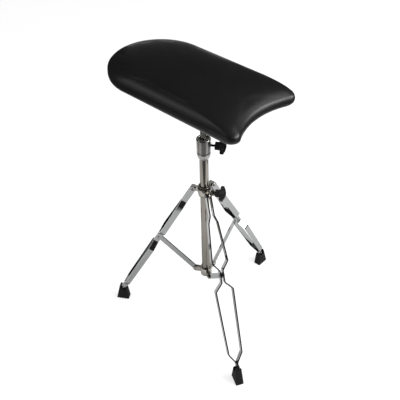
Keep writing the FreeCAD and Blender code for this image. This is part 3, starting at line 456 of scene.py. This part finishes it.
finishes = {
    "chrome": bright_chrome("chrome_plate", (0.37, 0.35, 0.315), roughness=0.035),
    # Painted shade: a darker, browner copy of the chrome for the main tube, standing in for the dark
    # surroundings that it mirrors.
    "tube_chrome_painted_shade": bright_chrome("tube_plate_painted_shade", (0.245, 0.23, 0.205), roughness=0.035),
    "satin_chrome": bright_chrome(
        "satin_chrome_plate", (0.33, 0.322, 0.315), roughness=0.2, brushed=0.02
    ),
    "leg_steel": bar_steel("chromed_bar", (0.32, 0.325, 0.325), roughness=0.03),
    "cast": cast_chrome("chromed_casting", (0.40, 0.38, 0.345), roughness=0.08),
    "rivet_steel": plated("rivet_plate", (0.40, 0.39, 0.37), roughness=0.26, tarnish=0.55),
    "zinc": plated("zinc_plate", (0.46, 0.46, 0.45), roughness=0.3, tarnish=0.7),
    "brass": plated("brass_shoe", (0.62, 0.44, 0.18), roughness=0.3, tarnish=0.7),
    # A near-black plated tint, used for the height bolt's thread.
    "dark_thread": plated("near_black_thread", grey(0.022), roughness=0.42, tarnish=0.6),
    "black_plastic": moulded(
        "knob_plastic", grey(0.010), roughness=0.42, grain_scale=1500.0, grain_depth=0.05 * MM
    ),
    # Painted shade: a darker copy of the knob plastic for the upper knob, which lies in the pad's
    # shadow.
    "knob_plastic_painted_shade": moulded(
        "upper_knob_plastic_painted_shade", grey(0.003), roughness=0.5, grain_scale=1500.0, grain_depth=0.05 * MM,
        shine=0.2
    ),
    "nylon": moulded(
        "dark_nylon", (0.016, 0.015, 0.014), roughness=0.4, grain_scale=1800.0, grain_depth=0.03 * MM
    ),
    "white_nylon": moulded(
        "white_nylon", (0.62, 0.61, 0.57), roughness=0.45, grain_scale=1800.0, grain_depth=0.03 * MM
    ),
    "bushing_nylon": moulded(
        "grey_nylon", (0.13, 0.125, 0.115), roughness=0.4, grain_scale=1800.0, grain_depth=0.03 * MM
    ),
    "rubber": moulded(
        "foot_rubber", grey(0.005), roughness=0.6, grain_scale=1300.0, grain_depth=0.08 * MM, shine=0.16
    ),
    "foam": moulded(
        "foam_block", (0.5, 0.47, 0.36), roughness=0.9, grain_scale=900.0, grain_depth=0.3 * MM
    ),
    "vinyl": vinyl("black_vinyl"),
    "plywood": plywood_finish("birch_plywood"),
    "dust_cloth": dust_cloth_finish("non_woven_cloth"),
    "painted_plate": powder_coat("black_powder_coat"),
}

# Pieces whose finish differs from that of their slot
own_finishes = {
    "tripod_collar": "cast",
    "lower_bracket": "cast",
    # The main tube takes the darker chrome, painted shade of its surroundings.
    "main_tube": "tube_chrome_painted_shade",
    "sleeve_bushing": "bushing_nylon",
    "collar_liner": "bushing_nylon",
    # The upper knob takes the darker plastic, painted shade under the pad.
    "height_bolt_knob": "knob_plastic_painted_shade",
    "height_bolt_screw": "dark_thread",
}


def on_pad(point):
    """Level pad coordinates turned to the pad's small tilt and turn on its hub."""
    lifted = point - Vector((0, 0, pad_pivot_height))
    lifted = Matrix.Rotation(pad_tilt, 3, "Y") @ lifted
    lifted = lifted + Vector((0, 0, pad_pivot_height))
    return Matrix.Rotation(pad_turn, 3, "Z") @ lifted


def arc_points(x, y, radius, start, end, count):
    """Points along an arc from its start, without its end."""
    turns = [start + (end - start) * step / count for step in range(count)]
    return [(x + radius * math.cos(turn), y + radius * math.sin(turn)) for turn in turns]


def pad_outline(side_inset, tip_inset, hollow_inset):
    """Plan of the pad at one level, with the same count of points at every level."""
    # Rounded end: a shoulder arc on each straight side, and a flatter arc that touches both
    half = pad_width / 2 - side_inset
    narrowing = 2 * half / pad_width
    side_radius = (pad_width / 2 - pad_round_offset) * narrowing
    round_depth = (pad_width / 2 - pad_round_flattening) * narrowing
    offset = half - side_radius
    flattening = round_depth - side_radius
    tip_radius = (offset ** 2 + round_depth ** 2 - side_radius ** 2) / (2 * flattening)
    tip_x = tip_inset - pad_tip_reach
    round_x = tip_x + round_depth
    toward = math.atan2(offset, round_x - tip_x - tip_radius)
    # Hollow end: an arc into the pad, with a corner arc that touches it and the straight side
    hollow_radius = ((pad_width / 2) ** 2 + pad_hollow_depth ** 2) / (2 * pad_hollow_depth)
    hollow_x = pad_corner_reach - pad_hollow_depth + hollow_radius
    hollow_radius = hollow_radius + hollow_inset
    corner = min(pad_corner_radius + pad_corner_growth * max(side_inset, 0), pad_corner_limit * half)
    corner_y = half - corner
    corner_x = hollow_x - math.sqrt((hollow_radius + corner) ** 2 - corner_y ** 2)
    join = math.atan2(-corner_y, hollow_x - corner_x)
    lean = math.atan2(corner_y, hollow_x - corner_x)
    # Once round, from the corner at positive y along the straight side to the tip and back
    upper = [(corner_x + (round_x - corner_x) * step / side_steps, half) for step in range(side_steps)]
    upper += arc_points(round_x, offset, side_radius, math.pi / 2, toward, shoulder_steps)
    upper += arc_points(tip_x + tip_radius, 0, tip_radius, toward, math.pi, tip_steps)
    lower = [(x, -y) for x, y in reversed(upper[1:])]
    corner_arc = arc_points(corner_x, corner_y, corner, join, math.pi / 2, corner_steps)
    under_corner = [(x, -y) for x, y in reversed(corner_arc[1:])]
    hollow = arc_points(hollow_x, 0, hollow_radius, math.pi + lean, math.pi - lean, hollow_steps)
    return upper + [(tip_x, 0)] + lower + [(corner_x, -half)] + under_corner + hollow + corner_arc


def smooth_levels(count):
    """The pad's levels joined by a smooth curve, as (height, side, tip, hollow) shares."""
    rows = np.array(pad_levels)
    widths_per_thickness = pad_width / pad_thickness
    halves_per_thickness = pad_width / 2 / pad_thickness
    size = np.array([1.0, halves_per_thickness, widths_per_thickness, widths_per_thickness])
    # Knots lie as far apart as the square root of the way between rows, so the curve stays tight
    gaps = np.sqrt(np.linalg.norm(np.diff(rows * size, axis=0), axis=1))
    knots = np.concatenate([[0], np.cumsum(gaps)])
    slopes = np.gradient(rows, knots, axis=0)
    found = []
    for along in np.linspace(0, knots[-1], count):
        span = min(int(np.searchsorted(knots, along, side="right")) - 1, len(knots) - 2)
        length = knots[span + 1] - knots[span]
        share = (along - knots[span]) / length
        start = (1 + 2 * share) * (1 - share) ** 2 * rows[span]
        start_pull = share * (1 - share) ** 2 * length * slopes[span]
        end = share * share * (3 - 2 * share) * rows[span + 1]
        end_pull = share * share * (share - 1) * length * slopes[span + 1]
        found.append(start + start_pull + end + end_pull)
    return found


def skin(rings, closed_top=None):
    """Faces between rings of points, all of the same count, and a fan to the point that closes them."""
    mesh = bmesh.new()
    rows = [[mesh.verts.new(point) for point in ring] for ring in rings]
    count = len(rows[0])
    for low, high in zip(rows, rows[1:]):
        for i in range(count):
            j = (i + 1) % count
            mesh.faces.new((low[i], low[j], high[j], high[i]))
    if closed_top is not None:
        peak = mesh.verts.new(closed_top)
        for i in range(count):
            mesh.faces.new((rows[-1][i], rows[-1][(i + 1) % count], peak))
    bmesh.ops.recalc_face_normals(mesh, faces=mesh.faces)
    return mesh


def close_holes(mesh):
    bmesh.ops.holes_fill(mesh, edges=[edge for edge in mesh.edges if edge.is_boundary])


def add_object(name, mesh, material=None):
    """An object in the scene from a bmesh, which is used up."""
    data = bpy.data.meshes.new(name)
    mesh.to_mesh(data)
    mesh.free()
    if material:
        data.materials.append(material)
    made = bpy.data.objects.new(name, data)
    bpy.context.scene.collection.objects.link(made)
    return made


def piece(name, mesh, slot, body, finish=None):
    """A shown piece from a bmesh, with its finish, on its body."""
    made = add_object(name, mesh, finishes[finish or slot])
    for face in made.data.polygons:
        face.use_smooth = True
    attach(made, body)
    return made


def thicken(made, name, thickness, offset):
    """Gives a skin its thickness, inwards with an offset of -1 and both ways with 0."""
    modifier = made.modifiers.new(name, "SOLIDIFY")
    modifier.thickness = thickness
    modifier.offset = offset


def pad_rings(slack):
    """Rings of the cover from its turned-in lower edge up to the crown, a little small above it."""
    half_width = pad_width / 2
    half_length = (pad_tip_reach + pad_corner_reach - pad_hollow_depth) / 2
    rings = []
    lowest = pad_levels[0]
    for inset, rise in hem_path:
        side = lowest[1] * half_width + inset
        tip = lowest[2] * half_length + inset
        hollow = lowest[3] * half_length + inset
        rings.append([(x, y, pad_bottom + rise) for x, y in pad_outline(side, tip, hollow)])
    for height, side, tip, hollow in smooth_levels(level_rings):
        small = slack * min(height / cover_slack_height, 1)
        insets = (side * half_width + small, tip * half_length + small, hollow * half_length + small)
        z = pad_bottom + (pad_thickness - slack) * height + (lower_edge_rise if height == 0 else 0)
        rings.append([(x, y, z) for x, y in pad_outline(*insets)])
    top = rings[-1]
    centre = np.mean(top, axis=0)
    for share in crown_shares:
        rings.append([tuple(centre + (np.array(point) - centre) * share) for point in top])
    return rings, centre


def mesh_as_shown(thing):
    """The mesh of an object with its modifiers, at this frame."""
    return bpy.data.meshes.new_from_object(thing.evaluated_get(bpy.context.evaluated_depsgraph_get()))


def blow_up_trial(mesh):
    """Cloth simulation of the closed pad: where its points start, and how far each one moves."""
    closed = mesh.copy()
    close_holes(closed)
    trial = add_object("cover_trial", closed)
    even = trial.modifiers.new("even_mesh", "REMESH")
    even.mode = "VOXEL"
    even.voxel_size = trial_cell
    even_data = mesh_as_shown(trial)
    trial.modifiers.clear()
    trial.data = even_data
    start = [vertex.co.copy() for vertex in even_data.vertices]
    held = trial.vertex_groups.new(name="held")
    pinned = [i for i, place in enumerate(start) if place.z < pad_bottom + trial_pinned_height]
    held.add(pinned, 1.0, "REPLACE")
    cloth = trial.modifiers.new("cover_cloth", "CLOTH")
    cloth.collision_settings.use_collision = False
    cloth.settings.vertex_group_mass = "held"
    cloth.settings.use_pressure = True
    cloth.settings.uniform_pressure_force = trial_pressure
    cloth.settings.shrink_min = -trial_stretch
    cloth.settings.effector_weights.gravity = 0
    cloth.point_cache.frame_start = 1
    cloth.point_cache.frame_end = trial_frames
    for frame_number in range(1, trial_frames + 1):
        bpy.context.scene.frame_set(frame_number)
    blown = mesh_as_shown(trial)
    moves = [vertex.co - place for vertex, place in zip(blown.vertices, start)]
    bpy.context.scene.frame_set(1)
    bpy.data.objects.remove(trial)
    return start, moves


def swell_cover(mesh):
    """Moves the cover's points as the simulated pad moved near them, up to a limit."""
    start, moves = blow_up_trial(mesh)
    tree = KDTree(len(start))
    for i, place in enumerate(start):
        tree.insert(place, i)
    tree.balance()
    mesh.normal_update()
    swells = []
    for vert in mesh.verts:
        total = 0
        weights = 0
        for place, i, gap in tree.find_n(vert.co, swell_neighbours):
            weight = 1 / (gap + swell_reach) ** 2
            total += moves[i].dot(vert.normal) * weight
            weights += weight
        swell = max(total / weights + cover_slack, 0)
        held_back = swell_limit * (1 - math.exp(-swell / swell_limit))
        height = (vert.co.z - pad_bottom) / swell_fade_height
        swells.append(held_back * min(max(height, 0), 1))
    for vert, swell in zip(mesh.verts, swells):
        vert.co += vert.normal * swell


def make_cover():
    """The stretched vinyl cover over its foam."""
    slack = cover_slack
    rings, centre = pad_rings(slack)
    mesh = skin(rings, centre)
    if slack:
        swell_cover(mesh)
    for vert in mesh.verts:
        vert.co = on_pad(vert.co)
    cover = piece("vinyl_cover", mesh, "vinyl", "pad")
    thicken(cover, "hem_thickness", hem_thickness, -1)
    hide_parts("pad_cover", "pad_foam")


def cloth_wave(x, y):
    """How far the dust cloth's ripples and puckers go past its mean sag here, as a share of it."""
    return sum(weight * noise.noise(Vector((x * per_metre, y * per_metre, layer)))
               for per_metre, weight, layer in cloth_waves)


def make_dust_cloth():
    """Dust cloth stretched under the pad, stapled round its edge and cut out round the plate."""
    outer = pad_outline(cloth_inset, cloth_inset, cloth_inset)
    straight = cloth_hole_half - cloth_hole_radius
    rings = []
    for step in range(cloth_steps + 1):
        share = step / cloth_steps
        free = math.sin(math.pi * share)
        ring = []
        for edge_x, edge_y in outer:
            near_x = min(max(edge_x, -straight), straight)
            near_y = min(max(edge_y, -straight), straight)
            way = Vector((edge_x - near_x, edge_y - near_y)).normalized() * cloth_hole_radius
            x = edge_x + (near_x + way.x - edge_x) * share
            y = edge_y + (near_y + way.y - edge_y) * share
            sag = free * cloth_sag * (1 + cloth_wave(x, y))
            ring.append(on_pad(Vector((x, y, cloth_bottom - sag))))
        rings.append(ring)
    cloth = piece("stretched_dust_cloth", skin(rings), "dust_cloth", "pad")
    thicken(cloth, "cloth_thickness", cloth_thickness, 0)
    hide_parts("dust_cloth")


def make_thread(node_name):
    """A wing bolt's stem with its thread, along the plain stem of the same length."""
    stem = nodes[node_name]
    way = Vector((math.cos(bolt_azimuth), math.sin(bolt_azimuth), 0))
    across = Vector((-way.y, way.x, 0))
    upward = Vector((0, 0, 1))
    points = [stem.matrix_world @ vertex.co for vertex in stem.data.vertices]
    runs = [point.dot(way) for point in points]
    heights = [point.z for point in points]
    start = min(runs)
    end = max(runs)
    centre = Vector((0, 0, (min(heights) + max(heights)) / 2))
    rings = []
    steps = int((end - start) / thread_pitch * thread_rings_per_turn)
    for step in range(steps + 1):
        run = start + (end - start) * step / steps
        taper = min((run - start) / thread_pitch, 1) * thread_end_taper
        ring = []
        for turn in range(thread_ring_points):
            angle = 2 * math.pi * turn / thread_ring_points
            wave = abs(((run / thread_pitch - turn / thread_ring_points) % 1) * 2 - 1)
            radius = thread_root + thread_depth * wave - thread_end_taper + taper
            outward = across * math.cos(angle) + upward * math.sin(angle)
            ring.append(centre + way * run + outward * radius)
        rings.append(ring)
    mesh = skin(rings, centre + way * end)
    close_holes(mesh)
    bmesh.ops.recalc_face_normals(mesh, faces=mesh.faces)
    name = node_name.replace("screw", "thread")
    made = piece(name, mesh, slot_of[node_name], body_of[node_name], own_finishes.get(node_name))
    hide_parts(node_name)


def soften(node_name, width):
    """Small round edges on a hard part."""
    node = nodes[node_name]
    weld = node.modifiers.new("weld", "WELD")
    weld.merge_threshold = weld_reach
    bevel = node.modifiers.new("soft_edges", "BEVEL")
    bevel.width = width
    bevel.segments = soft_edge_segments
    bevel.limit_method = "ANGLE"
    bevel.angle_limit = soft_edge_angle


slot_of = {row["node"]: row["material_slot"] for row in frame["record"]["subparts"]}
groups = frame["record"]["behaviour"]["bodies"]
body_of = {name: body for body, members in groups.items() for name in members}
for name, node in nodes.items():
    node.data.materials.clear()
    node.data.materials.append(finishes[own_finishes.get(name, slot_of[name])])

make_cover()
make_dust_cloth()
for screw in ("height_bolt_screw", "collar_bolt_screw"):
    make_thread(screw)
for name, width in soft_edges.items():
    soften(name, width)


def set_camera():
    """Camera at the photograph's angle."""
    back = Vector((0, -math.cos(view_elevation), math.sin(view_elevation)))
    right = Vector((1, 0, 0))
    up = back.cross(right)
    cos_roll = math.cos(view_roll)
    sin_roll = math.sin(view_roll)
    across = right * cos_roll + up * sin_roll
    upward = up * cos_roll - right * sin_roll
    pose = Matrix((across, upward, back)).transposed().to_4x4()
    pose.translation = view_target + back * view_distance
    data = bpy.data.cameras.new("front_camera")
    data.lens = view_lens_mm
    data.sensor_width = view_sensor_mm
    data.clip_start = view_near_limit
    camera = bpy.data.objects.new("front_camera", data)
    bpy.context.scene.collection.objects.link(camera)
    camera.matrix_world = Matrix.Rotation(view_turn, 4, "Z") @ pose
    bpy.context.scene.camera = camera


def softbox(name, azimuth, elevation, width, height, radiance):
    """Area lamp that faces the upper part of the stand."""
    aim = Vector((0, 0, softbox_aim_height))
    turn = math.radians(azimuth)
    flat = math.cos(math.radians(elevation))
    way = Vector((flat * math.cos(turn), flat * math.sin(turn), math.sin(math.radians(elevation))))
    data = bpy.data.lights.new(name, "AREA")
    data.shape = "RECTANGLE"
    data.size = width
    data.size_y = height
    data.energy = radiance * width * height * math.pi
    lamp = bpy.data.objects.new(name, data)
    bpy.context.scene.collection.objects.link(lamp)
    lamp.location = aim + way * softbox_distance
    lamp.rotation_euler = (lamp.location - aim).to_track_quat("Z", "Y").to_euler()


def matt_paint(name):
    return Finish(name, Roughness=0.9, Specular_IOR_Level=0.0)


def glowing_paint(name, glow):
    """Paint of a card or tent: it only glows, evenly."""
    paint = matt_paint(name)
    paint.feed("Base Color", grey(0))
    paint.feed("Emission Color", grey(1))
    paint.feed("Emission Strength", glow)
    return paint.material


def floor_paint():
    """Pale floor. The camera sees it just white, and metal sees it darker under the stand, a painted
    shadow.
    """
    paint = matt_paint("floor_paint")
    camera = paint.ray("Camera")
    mirror = paint.ray("Glossy")
    reach = paint.node("VectorMath", {"operation": "LENGTH"}, {0: paint.place}, output="Value")
    # Painted shadow: the floor that metal mirrors grows darker towards the centre, under the stand.
    shade = paint.math("MINIMUM", reach * (1 - painted_floor_shadow_share) / painted_floor_shadow_reach + painted_floor_shadow_share, 1.0)
    mirrored_colour_with_painted_shadow = paint.blend(mirror * (1 - shade), grey(mirrored_floor_colour), grey(0.0))
    paint.feed("Base Color", paint.blend(camera, mirrored_colour_with_painted_shadow, grey(view_floor_colour)))
    glow = mirror * shade * floor_glow + camera * view_floor_glow
    paint.feed("Emission Color", paint.blend(glow, grey(0), grey(1)))
    paint.feed("Emission Strength", 1)
    return paint.material


def stage_piece(name, mesh, material):
    """A piece of the studio, which is no part of the stand."""
    made = add_object(name, mesh, material)
    return made


def mirrored_only(name, mesh, glow):
    """A stage piece that nothing but shiny parts see."""
    made = stage_piece(name, mesh, glowing_paint(name + "_paint", glow))
    made.visible_camera = False
    made.visible_diffuse = False
    made.visible_shadow = False
    made.visible_transmission = False


def floor_area(toward, across, keep):
    """Floor squares between lines across and along the view, those for which keep says yes."""
    mesh = bmesh.new()
    turn = Matrix.Rotation(view_turn, 3, "Z")
    for i, (far, near) in enumerate(zip(toward, toward[1:])):
        for j, (left, right) in enumerate(zip(across, across[1:])):
            if keep(i, j):
                corners = ((left, -far), (right, -far), (right, -near), (left, -near))
                places = [turn @ Vector((x, y, floor_height)) for x, y in corners]
                mesh.faces.new([mesh.verts.new(place) for place in places])
    bmesh.ops.remove_doubles(mesh, verts=mesh.verts, dist=MM)
    bmesh.ops.recalc_face_normals(mesh, faces=mesh.faces)
    return mesh


def set_floor():
    """Pale floor all round, of which metal sees only the sheet under the stand and a near strip."""
    paint = floor_paint()
    toward = (-floor_edge, sheet_back, sheet_front, floor_edge)
    across = (-floor_edge, sheet_left, sheet_right, floor_edge)
    sheet = floor_area(toward, across, lambda i, j: i == 1 and j == 1)
    stage_piece("floor_sheet", sheet, paint)
    rest = floor_area(toward, across, lambda i, j: i != 1 or j != 1)
    surround = stage_piece("floor_surround", rest, paint)
    surround.visible_glossy = False
    near = floor_area((sheet_front, near_floor_front), (sheet_left, sheet_right), lambda i, j: True)
    mirrored_only("near_floor", near, near_floor_glow)


def set_card_and_tent():
    """Upright card that faces the main tube, and a dark tent, for the chrome to mirror."""
    turn = Matrix.Rotation(card_azimuth, 3, "Z")
    side = card_width / 2
    corners = ((-side, card_bottom), (side, card_bottom), (side, card_top), (-side, card_top))
    card = bmesh.new()
    card.faces.new([card.verts.new(turn @ Vector((card_distance, y, z))) for y, z in corners])
    mirrored_only("back_card", card, card_glow)
    tent = bmesh.new()
    bmesh.ops.create_uvsphere(tent, u_segments=tent_columns, v_segments=tent_rows, radius=tent_radius)
    mirrored_only("dark_tent", tent, tent_glow)


def set_sky():
    """White sky, seen at full strength and a little dimmer as a light."""
    world = bpy.data.worlds.new("studio_world")
    bpy.context.scene.world = world
    sky = Shader(world, "Background")
    seen = sky.math("MINIMUM", sky.ray("Camera") + sky.ray("Glossy") + sky.ray("Transmission"), 1.0)
    sky.feed("Strength", seen * (1 - world_light) + world_light)
    sky.feed("Color", grey(1))


set_camera()
set_floor()
set_card_and_tent()
for name, shape in softboxes.items():
    softbox(name, *shape)
set_sky()
bpy.context.scene.view_settings.view_transform = "Standard"
